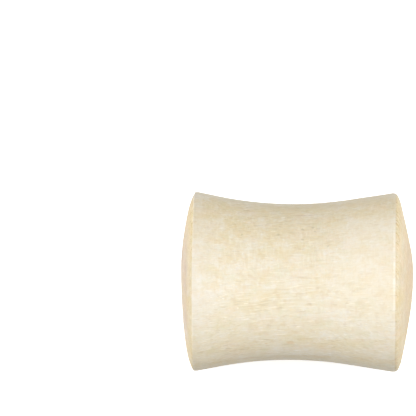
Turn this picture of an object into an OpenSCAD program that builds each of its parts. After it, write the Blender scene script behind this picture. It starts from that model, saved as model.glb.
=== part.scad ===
// Double flared ear plug, turned from one piece of pale wood.
// The plug lies along X. The origin is on its axis, at the narrowest place.
// The left end (-X) has a crisp rim and a low dome, the right end (+X) a rounded rim and a taller dome.

/* [Waist] */
// Diameter at the waist, where the ear lobe sits
waist_d = 8; // [6:0.5:20]
// Radius of the hollow curve that runs along the side
saddle_r = 19; // [10:0.5:19.5]
// How far both rims stand out past the waist
flare_rise = 0.58; // [0.2:0.02:1.5]

/* [Left end] */
// Waist to the left rim's outer edge
left_reach = 4.97; // [3.2:0.01:10]
// Width of the straight band round the left rim
left_land = 0.19; // [0.05:0.01:0.3]
// How far the left dome stands out past its rim
left_dome = 0.68; // [0.4:0.02:1.2]
// Radius of the shoulder between the left dome and its rim
left_shoulder_r = 3; // [0.5:0.1:3.4]
// How much steeper the shoulder makes the dome at the left rim, in degrees
left_shoulder_turn = 12; // [4:1:18]

/* [Right end] */
// Waist to the place where the right rim starts to round over
right_reach = 5.25; // [3.2:0.01:10]
// Width of the straight band round the right rim
right_land = 0.07; // [0.05:0.01:0.3]
// How far the right dome stands out past that place
right_dome = 1; // [0.6:0.02:1.6]
// Radius of the rounded edge of the right rim
right_edge_r = 0.25; // [0.1:0.01:0.5]

/* [Hidden] */
$fn = 180;

wood = "#e9dcc2";
waist_r = waist_d / 2;
rim_r = waist_r + flare_rise;
left_flare = left_reach - left_land;
right_flare = right_reach - right_land;
left_apex = left_reach + left_dome;
right_apex = right_reach + right_dome;
left_turn = 2 * atan(left_dome / rim_r) + left_shoulder_turn;
// The right edge turns almost all the way from the dome into the rim's band
right_turn = 85;
// Curves that run on into each other overlap by this much, so that they cross at a clear point
crossing = 0.001;
// The saddle's curve takes at most this share of the one arc that reaches the nearer rim
saddle_share = 0.98;
saddle_fit = min(saddle_r, saddle_share * arc_to_rim(min(left_flare, right_flare)));
saddle_centre = waist_r + saddle_fit;

// Radius of the arc that starts level at the waist and reaches the rim's height at this distance
function arc_to_rim(flare) = (pow(flare, 2) + pow(flare_rise, 2)) / (2 * flare_rise);

// Angle at which the saddle's curve gives way to the straight flare, which is tangent to it
function flare_angle(flare) =
    let (drop = saddle_fit - flare_rise)
    let (run = sqrt(pow(flare, 2) + pow(drop, 2) - pow(saddle_fit, 2)))
    atan2(flare, drop) - atan2(run, saddle_fit);

// Radius of the dome that is tangent to an edge arc of this radius and turn
function dome_radius(dome, edge_r, turn) =
    let (across = rim_r - edge_r * sin(turn))
    let (along = dome + edge_r * cos(turn))
    (pow(across, 2) + pow(along, 2) - pow(edge_r, 2)) / (2 * (along - edge_r));

// The outlines below are half sections: x is the distance from the axis, y the place along it.

// A straight bar as thick as the rims
module bar_section() {
    translate([0, -left_apex]) square([rim_r, left_apex + right_apex]);
}

// All that lies under the saddle's curve, between the two places where it gives way to a flare
module saddle_section() {
    low = saddle_fit * sin(flare_angle(left_flare));
    high = saddle_fit * sin(flare_angle(right_flare));
    difference() {
        translate([0, -low]) square([saddle_centre, low + high]);
        translate([saddle_centre, 0]) circle(saddle_fit);
    }
}

// All that lies under one straight flare, from the waist to past the apex
module flare_section(flare, apex) {
    slope = tan(flare_angle(flare));
    start_r = rim_r - flare * slope + crossing;
    polygon([[0, 0], [start_r, 0], [start_r + apex * slope, apex], [0, apex]]);
}

// All that lies behind one end's edge arc and dome
module end_section(reach, dome, edge_r, turn) {
    dome_r = dome_radius(dome, edge_r, turn);
    edge_x = rim_r - edge_r * sin(turn);
    edge_y = reach - edge_r * cos(turn);
    meet_r = dome_r * edge_x / (dome_r - edge_r);
    past = left_apex + right_apex;
    translate([0, edge_y - past]) square([past, past]);
    translate([edge_x, edge_y]) circle(edge_r);
    intersection() {
        translate([0, reach + dome - dome_r - crossing]) circle(dome_r);
        translate([0, edge_y - past]) square([meet_r, 2 * past]);
    }
}

module plug_section() {
    intersection() {
        bar_section();
        union() {
            saddle_section();
            flare_section(right_flare, right_apex);
            mirror([0, 1]) flare_section(left_flare, left_apex);
        }
        end_section(right_reach, right_dome, right_edge_r, right_turn);
        mirror([0, 1]) end_section(left_reach, left_dome, left_shoulder_r, left_turn);
    }
}

// The whole plug, turned about its axis and laid along X
module plug() {
    color(wood) rotate([0, 90, 0]) rotate_extrude() plug_section();
}

plug();
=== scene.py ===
import math

import bpy
from mathutils import Euler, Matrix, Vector, noise


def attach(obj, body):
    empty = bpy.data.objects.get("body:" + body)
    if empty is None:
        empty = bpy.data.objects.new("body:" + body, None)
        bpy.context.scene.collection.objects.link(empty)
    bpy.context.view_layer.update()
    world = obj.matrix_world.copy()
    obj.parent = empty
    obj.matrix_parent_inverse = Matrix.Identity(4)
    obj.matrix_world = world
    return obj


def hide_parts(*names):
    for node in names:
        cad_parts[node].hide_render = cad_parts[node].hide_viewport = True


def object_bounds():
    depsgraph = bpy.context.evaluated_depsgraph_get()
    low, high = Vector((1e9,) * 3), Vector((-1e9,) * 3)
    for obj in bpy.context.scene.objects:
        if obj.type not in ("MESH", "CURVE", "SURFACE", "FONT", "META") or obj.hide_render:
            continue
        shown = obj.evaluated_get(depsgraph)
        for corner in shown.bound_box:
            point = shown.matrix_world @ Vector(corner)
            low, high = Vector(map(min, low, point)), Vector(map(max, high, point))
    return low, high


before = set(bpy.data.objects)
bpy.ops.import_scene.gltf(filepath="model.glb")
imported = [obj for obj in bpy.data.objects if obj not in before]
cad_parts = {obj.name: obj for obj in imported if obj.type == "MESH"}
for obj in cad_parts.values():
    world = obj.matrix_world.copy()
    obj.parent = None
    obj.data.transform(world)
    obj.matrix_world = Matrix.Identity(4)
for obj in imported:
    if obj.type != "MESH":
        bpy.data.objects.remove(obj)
cadBox = [list(corner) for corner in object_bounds()]
mm = 0.001  # sizes below are in millimetres, Blender's are in metres


def linear(hexColour):  # sRGB hex to the linear colour a socket takes
    parts = [int(hexColour[i:i + 2], 16) / 255 for i in (1, 3, 5)]
    return [*(c / 12.92 if c <= 0.04045 else ((c + 0.055) / 1.055) ** 2.4 for c in parts), 1]


def addNode(tree, kind, inputs=(), **settings):  # inputs in their order or by name: values, sockets or nodes
    node = tree.nodes.new("ShaderNode" + kind)
    for name, value in settings.items():
        setattr(node, name, value)
    for place, value in inputs.items() if isinstance(inputs, dict) else enumerate(inputs):
        if isinstance(value, bpy.types.Node):  # a node stands for its first output in use
            value = next(socket for socket in value.outputs if socket.enabled)
        if isinstance(value, bpy.types.NodeSocket):
            tree.links.new(value, node.inputs[place])
        else:
            node.inputs[place].default_value = value
    return node


# Camera

view = {
    "elevation": 42.5,  # degrees above the floor
    "yaw": 0.87,  # degrees round towards the right end
    "roll": -0.27,  # degrees, tilting the picture anticlockwise
    "distance": 340,
    "frameSide": 416,  # pixels
    "waistAt": (291.3, 281.9),  # pixel where the middle of the waist shows
    "mmPerPixel": 0.05126,
    "clip": (0.01, 10),  # metres
}


def placeCamera():
    up, aside = math.radians(view["elevation"]), math.radians(view["yaw"])
    back = Vector((math.sin(aside) * math.cos(up), -math.cos(aside) * math.cos(up), math.sin(up)))
    half = view["frameSide"] / 2
    pan, tilt = [math.atan((at - half) * view["mmPerPixel"] / view["distance"]) for at in view["waistAt"]]
    bpy.ops.object.camera_add(location=back * view["distance"] * mm)
    camera = bpy.context.object
    camera.name = "camera"
    camera.rotation_mode = "QUATERNION"
    camera.rotation_quaternion = ((-back).to_track_quat("-Z", "Y")
                                  @ Euler((tilt, pan, math.radians(view["roll"]))).to_quaternion())
    camera.data.angle = 2 * math.atan(half * view["mmPerPixel"] / view["distance"])
    camera.data.clip_start, camera.data.clip_end = view["clip"]
    bpy.context.scene.camera = camera


placeCamera()
print("camera placed")


# Plug

plug = {
    "waistR": 4.0,
    "rimR": 4.58,
    "saddleR": 19.0,
    # both ends as in the part: which way along X, and from the waist over the rim's band and edge to the dome
    "left": {"side": -1, "reach": 4.97, "land": 0.19, "dome": 0.68, "edgeR": 3.0, "turn": 28.9},
    "right": {"side": 1, "reach": 5.25, "land": 0.07, "dome": 1.0, "edgeR": 0.25, "turn": 85},
    "cornerR": 0.03,  # the crisp left corner is only just broken
    "capR": 3.6,  # inside this radius each end is a square grid
    "around": 360,  # faces round the bar, a multiple of 4
    "gap": 0.0565,  # between rings
    "near": 0.001,  # two places no further apart than this are the same
}


def drawArc(radius, along, out, degrees):  # turns the outline's end about this place
    angle, centre = math.radians(degrees), (along * mm, 0, out * mm)
    steps = max(2, math.ceil(radius * math.radians(abs(degrees)) / plug["gap"]))
    bpy.ops.mesh.spin(steps=steps, angle=angle, center=centre, axis=(0, 1, 0))


def drawLine(along, out):  # takes the outline's end this far on
    steps = math.ceil(math.hypot(along, out) / plug["gap"])
    stride = (along * mm / steps, 0, out * mm / steps)
    for step in range(steps):
        bpy.ops.mesh.extrude_region_move(TRANSFORM_OT_translate={"value": stride})


def domeOf(end):  # the dome's radius and centre, and the angle where its edge takes over
    turn = math.radians(end["turn"])
    out = plug["rimR"] - end["edgeR"] * math.sin(turn)
    along = end["dome"] + end["edgeR"] * math.cos(turn)
    radius = (out ** 2 + along ** 2 - end["edgeR"] ** 2) / (2 * (along - end["edgeR"]))
    return radius, end["reach"] + end["dome"] - radius, math.degrees(math.asin(out / (radius - end["edgeR"])))


def domeHeight(end, out):  # how far along the dome is, at this distance from the axis
    domeR, domeAt = domeOf(end)[:2]
    return domeAt + math.sqrt(domeR ** 2 - out ** 2)


def drawHalf(end):  # from the waist over the flare, the rim and its edge to the cap
    side, saddleR, turn = end["side"], plug["saddleR"], math.radians(end["turn"])
    flare, rise = end["reach"] - end["land"], plug["rimR"] - plug["waistR"]
    drop = saddleR - rise
    slope = math.atan2(flare, drop) - math.atan2(math.sqrt(flare ** 2 + drop ** 2 - saddleR ** 2), saddleR)
    domeR, domeAt, meet = domeOf(end)
    edgeAt = end["reach"] - end["edgeR"] * math.cos(turn)
    edgeOut = plug["rimR"] - end["edgeR"] * math.sin(turn)
    drawArc(saddleR, 0, plug["waistR"] + saddleR, side * math.degrees(slope))
    drawLine(side * (flare - saddleR * math.sin(slope)), rise - saddleR * (1 - math.cos(slope)))
    drawLine(side * end["land"], 0)
    drawArc(end["edgeR"], side * edgeAt, edgeOut, side * (meet - end["turn"]))
    drawArc(domeR, side * domeAt, 0, side * (math.degrees(math.asin(plug["capR"] / domeR)) - meet))


def pick(mesh, kind, test):  # in edit mode, selects the points or edges that pass and nothing else
    bpy.ops.mesh.select_mode(type=kind)
    bpy.ops.mesh.select_all(action="DESELECT")
    bpy.ops.object.mode_set(mode="OBJECT")
    for part in mesh.vertices if kind == "VERT" else mesh.edges:
        part.select = test(part)
    bpy.ops.object.mode_set(mode="EDIT")


def outOf(point):  # distance from the axis, in millimetres
    return math.hypot(point.y, point.z) / mm


def turnPlug():
    ends, near = (plug["left"], plug["right"]), plug["near"]
    bpy.ops.object.select_all(action="DESELECT")
    bpy.ops.mesh.primitive_plane_add(size=mm, location=(0, 0, plug["waistR"] * mm))
    ob = bpy.context.object
    ob.name = "turned_plug"
    mesh = ob.data
    bpy.ops.object.transform_apply(location=True)
    bpy.ops.object.mode_set(mode="EDIT")
    bpy.ops.mesh.merge(type="CENTER")  # down to one point, on the waist
    for end in ends:
        pick(mesh, "VERT", lambda point: point.index == 0)
        drawHalf(end)
    bpy.ops.object.mode_set(mode="OBJECT")
    bpy.ops.object.modifier_add(type="SCREW")
    turning = ob.modifiers[-1]
    turning.axis = "X"
    turning.steps = turning.render_steps = plug["around"]
    bpy.ops.object.modifier_apply(modifier=turning.name)
    bpy.ops.object.mode_set(mode="EDIT")

    def onRing(edge, end, past, out):  # this far past the end's reach and this far from the axis
        places = [mesh.vertices[index].co for index in edge.vertices]
        along = [place.x * end["side"] / mm - end["reach"] for place in places]
        return all(past[0] < x < past[1] and abs(outOf(place) - out) < near
                   for x, place in zip(along, places))

    pick(mesh, "EDGE", lambda edge: onRing(edge, plug["left"], (-near, near), plug["rimR"]))
    bpy.ops.mesh.bevel(offset=plug["cornerR"] * mm, segments=3, affect="EDGES")
    for end in ends:
        pick(mesh, "EDGE", lambda edge: onRing(edge, end, (near, end["dome"]), plug["capR"]))
        bpy.ops.mesh.fill_grid(span=plug["around"] // 4)
    bpy.ops.mesh.select_all(action="SELECT")
    bpy.ops.mesh.normals_make_consistent(inside=False)
    bpy.ops.object.mode_set(mode="OBJECT")
    for end in ends:  # the flat caps are raised to the domes
        for point in mesh.vertices:
            out = outOf(point.co)
            if out < plug["capR"] - near and point.co.x * end["side"] > 0:
                point.co.x = end["side"] * domeHeight(end, out) * mm
    bpy.ops.object.shade_smooth()
    print("plug turned:", sum(len(face.vertices) - 2 for face in mesh.polygons), "triangles")
    return ob


turned = turnPlug()


# Hand finish

hand = {
    "lookUp": view["elevation"],  # degrees: "up" below is up as the camera sees the plug
    # the two domes aren't quite true: each nose sits above the axis, and the lower edge is fuller
    "left": {"noseUp": 0.7, "noseWide": 2.2, "tilt": 0.005, "swells": []},
    "right": {"noseUp": 0.5, "noseWide": 2.0, "tilt": 0.007, "swells": [  # a shallow hollow and a fuller rim
        {"out": 2.4, "wide": 1.05, "high": -0.05},
        {"out": 4.15, "wide": 0.4, "high": 0.04}]},
    "comesInOver": 0.1,  # mm along at each rim, from the true side to the dome
    "uneven": 0.006, "unevenWide": 2.5,  # sanding by hand left the side this far from true
    "rimWobble": 0.012, "rimWobbleWide": 0.6, "rimDeep": 0.3, "rimSeed": (7, 3, 1),  # rims that waver
    "lines": 0.0015, "lineWide": 0.25, "lineLong": 3.0,  # fibres that stand up a little
}


def seenAt(up, near):  # the place across the axis that the camera sees this far up and this near
    turn = math.radians(hand["lookUp"])
    return up * math.sin(turn) - near * math.cos(turn), up * math.cos(turn) + near * math.sin(turn)


def domeShift(end, touch, point):  # how far hand work moved this point of a dome along the axis, in mm
    out = outOf(point)
    up = Vector((0, *seenAt(1, 0)))
    nose = up * touch["noseUp"] * math.exp(-(out / touch["noseWide"]) ** 2)
    offNose = (Vector((0, point.y, point.z)) / mm - nose).length
    shift = domeHeight(end, offNose) - domeHeight(end, out)
    shift -= touch["tilt"] * up.dot(point) / mm
    for swell in touch["swells"]:
        shift += swell["high"] * math.exp(-((out - swell["out"]) / swell["wide"]) ** 2)
    return shift


def finishByHand(ob):
    mesh = ob.data
    normals = [point.normal.copy() for point in mesh.vertices]
    for point, normal in zip(mesh.vertices, normals):
        at = point.co / mm
        end = "right" if at.x > 0 else "left"
        fromRim = abs(at.x) - plug[end]["reach"]
        onEnd = min(1, max(0, fromRim / hand["comesInOver"] + 0.5)) if outOf(point.co) > plug["capR"] else 1
        wobble = math.exp(-(fromRim / hand["rimDeep"]) ** 2) * hand["rimWobble"]
        lift = noise.noise(at / hand["unevenWide"]) * hand["uneven"]
        lift += noise.noise(at / hand["rimWobbleWide"] + Vector(hand["rimSeed"])) * wobble
        along = Vector((at.x / hand["lineLong"], at.y / hand["lineWide"], at.z / hand["lineWide"]))
        lift += noise.noise(along) * hand["lines"]
        shift = domeShift(plug[end], hand[end], point.co) * onEnd * plug[end]["side"]
        point.co += (normal * lift + Vector((shift, 0, 0))) * mm
    print("domes and side finished by hand")


finishByHand(turned)


# Map for the baked textures: the side as two strips, one above the other, and the two ends beside them

sheet = {
    "cuts": (-33, 147),  # degrees round the axis where the side is cut, out of sight behind and below
    "edge": 0.7,  # a face that leans this much towards an end belongs to the end's disc
    "gap": 0.25,  # mm between the patches
    "around": 4.35,  # the mean radius, at which the strips are laid flat
    "past": (0.1, 0.2),  # mm that the strips run on past the reach of the left and of the right end
    "pixels": 1024,  # the side of a baked texture
}


def layFlat(mesh):
    gap, rimR = sheet["gap"], plug["rimR"]
    low, high = -plug["left"]["reach"] - sheet["past"][0], plug["right"]["reach"] + sheet["past"][1]
    stripLong = math.pi * sheet["around"]
    scale = 1 / (stripLong + 2 * rimR + 3 * gap)
    flat = mesh.uv_layers.new(name="OFBake").data
    for face in mesh.polygons:
        lean, middle = face.normal.x, face.center
        turn = (math.degrees(math.atan2(middle.z, middle.y)) - sheet["cuts"][0]) % 360
        row = 0 if turn < 180 else 1
        for loop in face.loop_indices:
            at = mesh.vertices[mesh.loops[loop].vertex_index].co / mm
            if abs(lean) > sheet["edge"]:
                u = stripLong + 2 * gap + rimR + math.copysign(at.y, at.y * lean)
                v = (gap + rimR) * (1 if lean < 0 else 3) + at.z
            else:
                around = (math.degrees(math.atan2(at.z, at.y)) - sheet["cuts"][row] + 90) % 360 - 90
                u = gap + math.radians(around) * sheet["around"]
                v = gap + at.x - low + row * (high - low + gap)
            flat[loop].uv = (u * scale, v * scale)
    print("laid flat at", round(sheet["pixels"] * scale, 1), "pixels per millimetre")


layFlat(turned.data)


# Wood

# Crocodile wood is the pale sapwood of a prickly ash: cream, close and even, with fine rays and faint rings.
# It was turned, then sanded to about 400 grit, with no oil or varnish, so it is satin and fibres still show.
# Where a colour comes in, four numbers are two places and its share at each, and two are the places alone.
wood = {
    "grain": (112, 1.05, 2.8),  # degrees that turn the plug to the tree's axes: up the stem, outwards, round
    "stray": 0.12, "strayOver": 2.2,  # mm that the fibres wander, and over what distance
    "speckle": {"perMm": 4.5, "detail": 2},  # the noise that breaks up lines
    "drift": {"perMm": 0.9, "detail": 3, "along": 1.6, "out": 0.8},  # mm that the bounds of colours wander

    "side": "#e1dbcb",
    # near both rims, where the side faces up and to the front, a painted highlight makes it lighter and
    # greyer
    "pale": {"left": "#dfd8cb", "right": "#e7dfcf"},
    "paleFrom": {"left": (-2.9, -4.8, 0, 0.75), "right": (0.8, 3.8, 0, 0.9)},
    "paleTowards": {"left": (0, -0.609, 0.793), "right": (0, -0.537, 0.843)},
    "paleSpan": {"left": (2.4, 3.9, 0.25, 1), "right": (3.1, 4.4, 0.25, 1)},
    "paleMottle": 0.6,  # how much of the mottle shows through it
    # a painted highlight along the edge of the right rim, on the side that faces up and to the front, broken
    # into patches
    "rimHighlight": "#fbf8f3", "rimHighlightFrom": (5.19, 5.22), "rimHighlightTo": (5.28, 5.31),
    "rimHighlightTowards": (0, -0.609, 0.793), "rimHighlightSpan": (3.9, 4.45, 0.12, 1),
    "rimHighlightPatchy": (0.3, 0.55, 0.25, 0.65),
    # a broad stripe along the side, up towards the front, was sanded less than the rest
    "stripeTowards": (0, -0.301, 0.954), "stripeSpan": (3.0, 4.1),

    "end": "#cdbfa5",  # cut across, the fibres soak up light
    "endFrom": {"left": (-4.965, -5.0), "right": (5.28, 5.35)},
    "endRim": "#c7ba99", "endRimFrom": {"left": (3.95, 4.45, 0, 0.75), "right": (3.6, 4.35, 0, 0.5)},
    "endHeart": {"left": "#c4b2a3", "right": "#c8b398"},
    "endHeartFrom": {"left": (4.35, 3.4), "right": (3.7, 2.2)},

    "roughness": 0.62, "roughnessSpan": 0.12,
    "fuzz": 0.14, "fuzzRough": 0.35, "fuzzHex": "#efe4de",  # fine fibre ends that catch the light from aside

    # where a ring of spring wood starts, in mm outwards from the axis, how dark its line and the wood
    # after it are, how far that lasts, and where along the ring it fades away
    "rings": [
        {"name": "lower", "out": 3.08, "line": 0.6, "after": 0.34, "lasts": 1.3, "fades": (2.2, 3.6)},
        {"name": "false_ring", "out": 1.7, "line": 0, "after": 0.28, "lasts": 1.6, "fades": (-2.6, -0.6)},
        {"name": "middle", "out": -0.92, "line": 0.06, "after": 0.22, "lasts": 1.4, "fades": (-1.8, -0.6)},
        {"name": "upper", "out": -4.7, "line": 0, "after": 0.6, "lasts": 2.9, "fades": (-0.4, 1.4)},
    ],
    "ringAfter": "#d6c38f",
    "ringLine": "#b3883f", "ringWide": 0.12, "ringSink": 0.003, "ringBroken": (0.35, 0.6),
    "ringStray": 0.28, "ringStrayOver": 0.5, "ringStrayDetail": 3, "ringStrayRough": 0.7,
    "lineOnSide": 0.25, "springOnSide": 0.25,  # how much of lines and of coarseness shows along the grain

    # each layer: how long, deep and wide its marks are in mm up the stem, outwards and round, the noise's
    # detail and roughness, the span of noise over which it comes in, its colour and how strong that is on
    # the side, on the less sanded stripe and on the ends, how much stronger it is in spring wood, and how far
    # it sinks in mm; the finest real fibres are 0.02 mm across, and are drawn about 0.07 mm wide to show
    "layers": [
        {"name": "cloud", "size": (3.6, 2.0, 2.4), "detail": 1, "rough": 0.5, "span": (0.38, 0.66),
         "hex": "#dccb9e", "side": (0.26, 0.26), "end": 0.25, "spring": 0, "sink": 0},
        {"name": "tan_mottle", "size": (1.0, 0.75, 0.75), "detail": 5, "rough": 0.75, "span": (0.4, 0.68),
         "hex": "#dcc796", "side": (0.26, 0.5), "end": 0.35, "spring": 0, "sink": 0.0005},
        {"name": "pale_mottle", "size": (0.8, 0.6, 0.6), "detail": 5, "rough": 0.75, "span": (0.44, 0.7),
         "hex": "#e8e5e0", "side": (0.46, 0.6), "end": 0.3, "spring": 0, "sink": 0},
        {"name": "blush", "size": (1.2, 0.8, 0.8), "detail": 4, "rough": 0.7, "span": (0.46, 0.7),
         "hex": "#e2ceb8", "side": (0.3, 0.36), "end": 0.45, "spring": 0, "sink": 0},
        {"name": "olive", "size": (0.9, 0.7, 0.7), "detail": 4, "rough": 0.7, "span": (0.5, 0.72),
         "hex": "#cfcca6", "side": (0.38, 0.34), "end": 0.25, "spring": 0, "sink": 0},
        {"name": "honey_specks", "size": (0.18, 0.13, 0.13), "detail": 3, "rough": 0.7, "span": (0.48, 0.7),
         "hex": "#e6ca8e", "side": (0.2, 0.22), "end": 0.3, "spring": 0.2, "sink": 0},
        {"name": "grey_specks", "size": (0.18, 0.13, 0.13), "detail": 3, "rough": 0.7, "span": (0.5, 0.72),
         "hex": "#dadbe0", "side": (0.2, 0.22), "end": 0.2, "spring": 0, "sink": 0},
        {"name": "bands", "size": (6.0, 0.4, 0.4), "detail": 3, "rough": 0.6, "span": (0.44, 0.66),
         "hex": "#d6c59b", "side": (0.22, 0.16), "end": 0, "spring": 0, "sink": 0.0005},
        {"name": "fibres", "size": (1.5, 0.075, 0.075), "detail": 2, "rough": 0.6, "span": (0.42, 0.7),
         "hex": "#c6b388", "side": (0.15, 0.1), "end": 0.12, "spring": 0, "sink": 0.0005},
        {"name": "silver_fibres", "size": (0.9, 0.07, 0.07), "detail": 1, "rough": 0.5, "span": (0.6, 0.72),
         "hex": "#fffaf0", "side": (0.27, 0.18), "end": 0.1, "spring": 0, "sink": -0.0003},
        {"name": "rays", "size": (0.3, 0.5, 0.08), "detail": 1, "rough": 0.5, "span": (0.52, 0.72),
         "hex": "#b98f52", "side": (0.1, 0.1), "end": 0.2, "spring": 0.5, "sink": 0.0006},
        {"name": "bright_rays", "size": (0.3, 0.55, 0.075), "detail": 1, "rough": 0.5, "span": (0.6, 0.74),
         "hex": "#fbf3e0", "side": (0.1, 0.1), "end": 0.25, "spring": 0.2, "sink": -0.0004},
        {"name": "vessels", "size": (0.7, 0.07, 0.07), "detail": 0, "rough": 0.5, "span": (0.68, 0.76),
         "hex": "#9a804f", "side": (0.15, 0.1), "end": 0.25, "spring": 0.5, "sink": 0.0012},
        {"name": "tool_marks", "size": (0.13, 0.5, 0.5), "detail": 3, "rough": 0.6, "span": (0.44, 0.68),
         "hex": "#cfbb8c", "side": (0.03, 0.18), "end": 0, "spring": 0, "sink": 0.0008},
        {"name": "sanding_marks", "size": (0.1, 0.45, 0.45), "detail": 2, "rough": 0.6, "span": (0.5, 0.72),
         "hex": "#f6f2e6", "side": (0.03, 0.16), "end": 0, "spring": 0, "sink": -0.0004},
    ],
    "layersApart": (3.7, 11.3, -5.1),  # how far apart the layers lie in the noise
    "lathed": ("tool_marks", "sanding_marks"),  # these run round the plug, and not with the tree
}


# What only this plug has, in mm. A spot on the side gives its place along from the waist and up as the camera
# sees it, and a spot on the right end its place to the right and up as seen end on. Then both give half their
# length and half their width.
marks = {
    "pits": {"on": "side", "hex": "#958c66", "most": 0.3, "sink": 0.008, "spots": [
        (-2.48, 2.39, 0.08, 0.05), (-0.63, 2.40, 0.10, 0.06), (0.60, 2.66, 0.07, 0.06),
        (0.60, 2.15, 0.08, 0.07), (1.11, 2.77, 0.09, 0.07), (1.21, 2.57, 0.06, 0.05),
        (1.88, 1.80, 0.06, 0.05), (4.29, 2.18, 0.06, 0.05), (4.85, 2.90, 0.08, 0.06),
        (5.01, 2.39, 0.10, 0.05), (5.16, 2.60, 0.05, 0.05), (5.20, 3.00, 0.05, 0.06)]},
    "resin": {"on": "side", "hex": "#d6b27c", "most": 0.4, "sink": 0.001, "spots": [
        (0.03, -3.08, 0.22, 0.11), (-1.20, -3.14, 0.09, 0.06)]},
    "scratch": {"on": "side", "hex": "#a8845a", "most": 0.3, "sink": 0.002, "spots": [
        (0.70, 3.38, 0.8, 0.035)]},
    "silver": {"on": "side", "hex": "#fffaf0", "most": 0.38, "sink": -0.002, "spots": [
        (-0.38, 3.27, 0.22, 0.035), (-0.94, 2.55, 0.17, 0.035), (0.03, 1.89, 0.17, 0.035),
        (1.47, -3.02, 0.20, 0.04), (-2.67, -1.34, 0.08, 0.05), (-2.27, -1.11, 0.17, 0.03),
        (-3.40, -0.85, 0.09, 0.06), (2.98, -2.38, 0.17, 0.03), (0.42, -2.27, 0.14, 0.03),
        (5.10, -3.87, 0.14, 0.04)]},
    "pores": {"on": "end", "hex": "#b5853f", "most": 0.32, "sink": 0.006, "spots": [
        (2.39, 2.47, 0.09, 0.06), (2.18, 2.11, 0.08, 0.06), (0.69, 0.42, 0.07, 0.06),
        (-2.44, -2.21, 0.12, 0.08), (-1.81, -2.37, 0.10, 0.07), (-1.50, -2.59, 0.12, 0.09),
        (-0.16, -3.08, 0.12, 0.08), (0.30, -3.33, 0.14, 0.08), (0.86, -3.58, 0.09, 0.06),
        (-3.62, -1.65, 0.09, 0.07), (-3.06, -1.96, 0.08, 0.06), (1.67, -3.83, 0.08, 0.06)]},
    "stains": {"on": "end", "hex": "#8f8451", "most": 0.55, "sink": 0, "spots": [
        (-1.92, -3.84, 0.18, 0.15), (-1.56, -4.04, 0.15, 0.12)]},
    "knots": {"on": "end", "hex": "#f5ead4", "most": 0.5, "sink": -0.002, "spots": [
        (-2.95, 2.32, 0.07, 0.07), (1.82, 2.01, 0.16, 0.04), (1.0, 0.6, 0.5, 0.04)]},
}
ragged = {"perMm": 9, "detail": 2, "span": (0.85, 1.2)}  # the noise that frays the outlines of all the marks
endMarksFrom = 4.75  # mm along, past which a point may take a mark of the right end
# where the lathe's centre held the right end: a faint ring round a dent
lathe = {"at": (0.13, -0.14), "ringR": 0.45, "ringWide": 0.05, "ringHex": "#f7eedb", "ringMost": 0.4,
         "ringSink": -0.003, "ringBroken": (0.42, 0.62),
         "dentR": 0.16, "dentHex": "#b98d55", "dentMost": 0.3, "dentSink": 0.01}


def onSideAt(along, up):  # the point of the side that shows there
    out = plug["waistR"] + plug["saddleR"] - math.sqrt(plug["saddleR"] ** 2 - along ** 2)
    return along, *seenAt(up, math.sqrt(out ** 2 - up ** 2))


def paintMarks(mesh):  # an attribute for each kind, 1 in the middle of a mark and 0.5 at its outline
    turn = math.radians(wood["grain"][0])
    for name, kind in marks.items():
        onSide = kind["on"] == "side"
        shown = [0.0] * len(mesh.vertices)
        for first, second, halfLong, halfWide in kind["spots"]:
            centre = onSideAt(first, second) if onSide else (endMarksFrom, first, second)
            for point in mesh.vertices:
                x = point.co.x / mm - centre[0]
                far = abs(x) > 2 * halfLong if onSide else x < 0
                if far:
                    continue
                y, z = point.co.y / mm - centre[1], point.co.z / mm - centre[2]
                if onSide:
                    off = math.hypot(x / halfLong, y / halfWide, z / halfWide)
                else:  # long the way the rays run
                    outwards = y * math.cos(turn) - z * math.sin(turn)
                    around = y * math.sin(turn) + z * math.cos(turn)
                    off = math.hypot(outwards / halfLong, around / halfWide)
                shown[point.index] = max(shown[point.index], 1 - off / 2)
        mesh.attributes.new(name, "FLOAT", "POINT").data.foreach_set("value", shown)
    print("marks painted")


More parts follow.
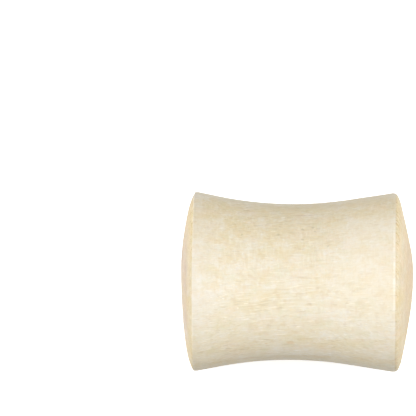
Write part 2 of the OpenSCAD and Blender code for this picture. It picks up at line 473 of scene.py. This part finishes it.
def crocodileWood():
    mat = bpy.data.materials.new("crocodile_wood_sanded")
    mat.use_nodes = True
    tree = mat.node_tree
    tree.nodes.clear()
    # a map range takes a value, two places and what comes in at each; a mix of colours takes its share as
    # input 0, the colour under as 6 and the colour over as 7
    smooth, rgba = {"interpolation_type": "SMOOTHSTEP"}, {"data_type": "RGBA"}

    # millimetres, first as the plug lies and then as the tree grew
    texture = addNode(tree, "TexCoord")
    plugPlace = addNode(tree, "Mapping", {"Vector": texture.outputs["Object"], "Scale": (1 / mm,) * 3})
    plugAt = addNode(tree, "SeparateXYZ", [plugPlace])
    along = plugAt.outputs["X"]
    grain, stray = [math.radians(angle) for angle in wood["grain"]], wood["stray"]
    stem = addNode(tree, "Mapping", {"Vector": plugPlace, "Rotation": grain})
    sway = addNode(tree, "TexNoise", {"Vector": stem, "Scale": 1 / wood["strayOver"], "Detail": 1})
    offset = addNode(tree, "MapRange", {
        "Vector": sway.outputs["Color"], "To Min": (0, -stray, -stray), "To Max": (0, stray, stray)},
        data_type="FLOAT_VECTOR")
    treePlace = addNode(tree, "VectorMath", [stem, offset])
    treeAt = addNode(tree, "SeparateXYZ", [stem])
    outwards, around = treeAt.outputs["Y"], treeAt.outputs["Z"]

    # which surface this is
    across = addNode(tree, "CombineXYZ", [0, plugAt.outputs["Y"], plugAt.outputs["Z"]])
    fromAxis = addNode(tree, "VectorMath", [across], operation="LENGTH")
    onLeft = addNode(tree, "MapRange", [along, *wood["endFrom"]["left"]], **smooth)
    onRight = addNode(tree, "MapRange", [along, *wood["endFrom"]["right"]], **smooth)
    onEnd = addNode(tree, "Math", [onLeft, onRight], operation="MAXIMUM")
    onSide = addNode(tree, "Math", [1, onEnd], operation="SUBTRACT")

    # the wood's own colour, without any grain
    drift = wood["drift"]
    uneven = addNode(tree, "TexNoise", {
        "Vector": treePlace, "Scale": drift["perMm"], "Detail": drift["detail"]})
    alongDrift = addNode(tree, "Math", [along, -drift["along"] / 2])
    alongDrift = addNode(tree, "Math", [uneven, drift["along"], alongDrift], operation="MULTIPLY_ADD")
    outDrift = addNode(tree, "Math", [fromAxis, -drift["out"] / 2])
    outDrift = addNode(tree, "Math", [uneven, drift["out"], outDrift], operation="MULTIPLY_ADD")
    end = linear(wood["end"])
    for side, here in (("left", onLeft), ("right", onRight)):
        atRim = addNode(tree, "MapRange", [outDrift, *wood["endRimFrom"][side]], **smooth)
        atRim = addNode(tree, "Math", [atRim, here], operation="MULTIPLY")
        end = addNode(tree, "Mix", {0: atRim, 6: end, 7: linear(wood["endRim"])}, **rgba)
        inHeart = addNode(tree, "MapRange", [outDrift, *wood["endHeartFrom"][side], 0, here], **smooth)
        end = addNode(tree, "Mix", {0: inHeart, 6: end, 7: linear(wood["endHeart"][side])}, **rgba)
    colour = addNode(tree, "Mix", {0: onEnd, 6: linear(wood["side"]), 7: end}, **rgba)

    # growth rings
    zigzag = addNode(tree, "TexNoise", {
        "Vector": treePlace, "Scale": 1 / wood["ringStrayOver"],
        "Detail": wood["ringStrayDetail"], "Roughness": wood["ringStrayRough"]})
    ringAt = addNode(tree, "Math", [outwards, -wood["ringStray"]])
    ringAt = addNode(tree, "Math", [zigzag, 2 * wood["ringStray"], ringAt], operation="MULTIPLY_ADD")
    speckle = wood["speckle"]
    speckled = addNode(tree, "TexNoise", {
        "Vector": treePlace, "Scale": speckle["perMm"], "Detail": speckle["detail"]})
    lines, spring = 0, 0
    for ring in wood["rings"]:
        here = addNode(tree, "MapRange", [around, *ring["fades"], 1, 0], **smooth)
        inside = addNode(tree, "Math", [ringAt, ring["out"]], operation="SUBTRACT")
        started = addNode(tree, "Math", [inside, 0], operation="GREATER_THAN")
        after = addNode(tree, "MapRange", [inside, 0, ring["lasts"], here, 0], **smooth)
        after = addNode(tree, "Math", [after, ring["after"]], operation="MULTIPLY")
        after = addNode(tree, "Math", [after, started], operation="MULTIPLY")
        colour = addNode(tree, "Mix", {0: after, 6: colour, 7: linear(wood["ringAfter"])},
                         label=ring["name"], **rgba)
        spring = addNode(tree, "Math", [spring, after], operation="MAXIMUM")
        offLine = addNode(tree, "Math", [inside], operation="ABSOLUTE")
        line = addNode(tree, "MapRange", [offLine, 0, wood["ringWide"], here, 0], **smooth)
        lines = addNode(tree, "Math", [line, ring["line"], lines], operation="MULTIPLY_ADD")
    lineMost = addNode(tree, "MapRange", [onEnd, 0, 1, wood["lineOnSide"], 1])
    lineShown = addNode(tree, "MapRange", [speckled, *wood["ringBroken"], 0, lineMost], **smooth)
    lineShown = addNode(tree, "Math", [lineShown, lines], operation="MULTIPLY")
    colour = addNode(tree, "Mix", {0: lineShown, 6: colour, 7: linear(wood["ringLine"])}, **rgba)

    # painted highlights: lighter, greyer wood near both rims, and a bright line along the edge of the right
    # rim
    pale = 0
    # a painted highlight near each rim, on the side that faces up and to the front
    for side in ("left", "right"):
        towards = addNode(tree, "VectorMath", [plugPlace, wood["paleTowards"][side]], operation="DOT_PRODUCT")
        paleHighlightFacing = addNode(tree, "MapRange", [towards, *wood["paleSpan"][side]], **smooth)
        paleHighlightFacing = addNode(tree, "Math", [paleHighlightFacing, onSide], operation="MULTIPLY")
        here = addNode(tree, "MapRange", [alongDrift, *wood["paleFrom"][side]], **smooth)
        here = addNode(tree, "Math", [here, paleHighlightFacing], operation="MULTIPLY")
        colour = addNode(tree, "Mix", {0: here, 6: colour, 7: linear(wood["pale"][side])}, **rgba)
        pale = addNode(tree, "Math", [pale, here])
    # painted highlight: a bright line along the right rim's edge, where it faces up and to the front, in
    # patches
    edge = addNode(tree, "MapRange", [along, *wood["rimHighlightFrom"]], **smooth)
    edge = addNode(tree, "MapRange", [along, *wood["rimHighlightTo"], edge, 0], **smooth)
    rimHighlightFacing = addNode(tree, "VectorMath", [plugPlace, wood["rimHighlightTowards"]], operation="DOT_PRODUCT")
    rimHighlightFacing = addNode(tree, "MapRange", [rimHighlightFacing, *wood["rimHighlightSpan"]], **smooth)
    rimHighlightPatches = addNode(tree, "MapRange", [speckled, *wood["rimHighlightPatchy"]], **smooth)
    edge = addNode(tree, "Math", [edge, rimHighlightFacing], operation="MULTIPLY")
    edge = addNode(tree, "Math", [edge, rimHighlightPatches], operation="MULTIPLY")
    colour = addNode(tree, "Mix", {0: edge, 6: colour, 7: linear(wood["rimHighlight"])}, **rgba)

    # mottle, fibres, rays and vessels
    springMost = addNode(tree, "MapRange", [onEnd, 0, 1, wood["springOnSide"], 1], **smooth)
    spring = addNode(tree, "Math", [spring, springMost], operation="MULTIPLY")
    # the mottle shows less under the painted highlight near the rims
    even = addNode(tree, "MapRange", [pale, 0, 1, 1, wood["paleMottle"]], **smooth)
    height = addNode(tree, "Math", [lines, -wood["ringSink"]], operation="MULTIPLY")
    stripe = addNode(tree, "VectorMath", [plugPlace, wood["stripeTowards"]], operation="DOT_PRODUCT")
    patterns = {}
    for number, layer in enumerate(wood["layers"]):
        place = addNode(tree, "Mapping", {
            "Vector": plugPlace if layer["name"] in wood["lathed"] else treePlace,
            "Scale": [1 / size for size in layer["size"]],
            "Location": [number * step for step in wood["layersApart"]]})
        pattern = addNode(tree, "TexNoise", {
            "Vector": place, "Scale": 1, "Detail": layer["detail"], "Roughness": layer["rough"]},
            label=layer["name"])
        shown = addNode(tree, "MapRange", [pattern, *layer["span"]], **smooth)
        patterns[layer["name"]] = shown
        share = addNode(tree, "MapRange", [stripe, *wood["stripeSpan"], *layer["side"]], **smooth)
        share = addNode(tree, "MapRange", [onEnd, 0, 1, share, layer["end"]])
        share = addNode(tree, "Math", [spring, layer["spring"], share], operation="MULTIPLY_ADD")
        share = addNode(tree, "Math", [share, even], operation="MULTIPLY")
        share = addNode(tree, "Math", [share, shown], operation="MULTIPLY")
        colour = addNode(tree, "Mix", {0: share, 6: colour, 7: linear(layer["hex"])}, **rgba)
        height = addNode(tree, "Math", [shown, -layer["sink"], height], operation="MULTIPLY_ADD")

    # this plug's own marks, and the mark of the lathe's centre
    frayed = addNode(tree, "TexNoise", {
        "Vector": plugPlace, "Scale": ragged["perMm"], "Detail": ragged["detail"]})
    for name, kind in marks.items():
        painted = addNode(tree, "Attribute", attribute_name=name)
        shown = addNode(tree, "Math", [painted.outputs["Fac"], frayed])
        shown = addNode(tree, "MapRange", [shown, *ragged["span"], 0, kind["most"]], **smooth)
        colour = addNode(tree, "Mix", {0: shown, 6: colour, 7: linear(kind["hex"])}, **rgba)
        height = addNode(tree, "Math", [shown, -kind["sink"], height], operation="MULTIPLY_ADD")
    centred = addNode(tree, "Mapping", {
        "Vector": plugPlace, "Scale": (0, 1, 1), "Location": (0, -lathe["at"][0], -lathe["at"][1])})
    offCentre = addNode(tree, "VectorMath", [centred], operation="LENGTH")
    offRing = addNode(tree, "Math", [offCentre, lathe["ringR"]], operation="SUBTRACT")
    offRing = addNode(tree, "Math", [offRing], operation="ABSOLUTE")
    broken = addNode(tree, "MapRange", [speckled, *lathe["ringBroken"], 0, onRight], **smooth)
    turnedRing = addNode(tree, "MapRange", [offRing, 0, lathe["ringWide"], broken, 0], **smooth)
    dent = addNode(tree, "MapRange", [offCentre, 0, lathe["dentR"], onRight, 0], **smooth)
    for shown, name in ((turnedRing, "ring"), (dent, "dent")):
        share = addNode(tree, "Math", [shown, lathe[name + "Most"]], operation="MULTIPLY")
        colour = addNode(tree, "Mix", {0: share, 6: colour, 7: linear(lathe[name + "Hex"])}, **rgba)
        height = addNode(tree, "Math", [shown, -lathe[name + "Sink"], height], operation="MULTIPLY_ADD")

    bump = addNode(tree, "Bump", {"Height": height, "Distance": mm, "Strength": 1})
    roughness = addNode(tree, "Math", [patterns["fibres"], wood["roughnessSpan"], wood["roughness"]],
                        operation="MULTIPLY_ADD")
    shader = addNode(tree, "BsdfPrincipled", {
        "Base Color": colour, "Roughness": roughness, "Normal": bump, "Sheen Weight": wood["fuzz"],
        "Sheen Roughness": wood["fuzzRough"], "Sheen Tint": linear(wood["fuzzHex"])})
    addNode(tree, "OutputMaterial", [shader])
    print("wood laid out:", len(tree.nodes), "nodes")
    return mat


paintMarks(turned.data)
turned.data.materials.append(crocodileWood())
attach(turned, "root")
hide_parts("plug")


# Studio

studio = {
    "floorSide": 3000,
    "floorHex": "#f2f2f2", "floorGlow": 0.58,  # a white table, lit a little from below
    "farFrom": (40, 120), "farGlow": 1.0,  # away from the plug, in mm, it is lit fully
    "skyHex": "#ffffff", "sky": 0.1,
    "boxDistance": 400, "boxSide": 330,
    # a ring of soft boxes, the same on the left and the right
    "boxes": [
        {"up": 17, "round": 30, "power": 0.57},
        {"up": 20, "round": 66, "power": 0.74},
        {"up": 20, "round": 90, "power": 1.10},
        {"up": 20, "round": 145, "power": 0.35},
        # through the table, in place of the light that it would throw back
        {"up": -30, "round": 40, "power": 0.12},
        {"up": -45, "round": 175, "power": 0.32},
    ],
}


def softBox(name, up, aside, power):  # degrees above the floor, and round from the front
    up, aside = math.radians(up), math.radians(aside)
    towards = Vector((math.sin(aside) * math.cos(up), -math.cos(aside) * math.cos(up), math.sin(up)))
    bpy.ops.object.light_add(type="AREA", location=towards * studio["boxDistance"] * mm)
    box = bpy.context.object
    box.name = name
    box.data.size = studio["boxSide"] * mm
    box.data.energy = power
    box.rotation_mode = "QUATERNION"
    box.rotation_quaternion = (-towards).to_track_quat("-Z", "Y")


def layFloor():
    bpy.ops.object.select_all(action="DESELECT")
    bpy.ops.mesh.primitive_plane_add(size=studio["floorSide"] * mm, location=(0, 0, cadBox[0][2]))
    floor = bpy.context.object
    floor.name = "floor"
    floor.visible_diffuse = floor.visible_glossy = floor.visible_shadow = False  # it throws no light back
    mat = bpy.data.materials.new("white_light_table")
    mat.use_nodes = True
    tree = mat.node_tree
    tree.nodes.clear()
    place = addNode(tree, "TexCoord")
    away = addNode(tree, "VectorMath", [place.outputs["Object"]], operation="LENGTH")
    fade = [far * mm for far in studio["farFrom"]]
    level = addNode(tree, "MapRange", [away, *fade, studio["floorGlow"], studio["farGlow"]])
    glow = addNode(tree, "Emission", {"Strength": level})
    skin = addNode(tree, "BsdfDiffuse", [linear(studio["floorHex"])])
    addNode(tree, "OutputMaterial", [addNode(tree, "AddShader", [skin, glow])])
    floor.data.materials.append(mat)


def lightRoom():
    for box in studio["boxes"]:
        for name, side in (("left", -1), ("right", 1)):
            softBox(f"soft_box_{name}_{box['round']}", box["up"], side * box["round"], box["power"])
    world = bpy.data.worlds.new("white_room")
    world.use_nodes = True
    tree = world.node_tree
    seen = addNode(tree, "LightPath")  # the camera sees the walls white, and they light the plug less
    level = addNode(tree, "MapRange", [seen.outputs["Is Camera Ray"], 0, 1, studio["sky"], 1])
    backdrop = tree.nodes["Background"].inputs
    backdrop["Color"].default_value = linear(studio["skyHex"])
    tree.links.new(level.outputs[0], backdrop["Strength"])
    bpy.context.scene.world = world
    bpy.context.scene.view_settings.view_transform = "Standard"


layFloor()
lightRoom()
print("studio set")
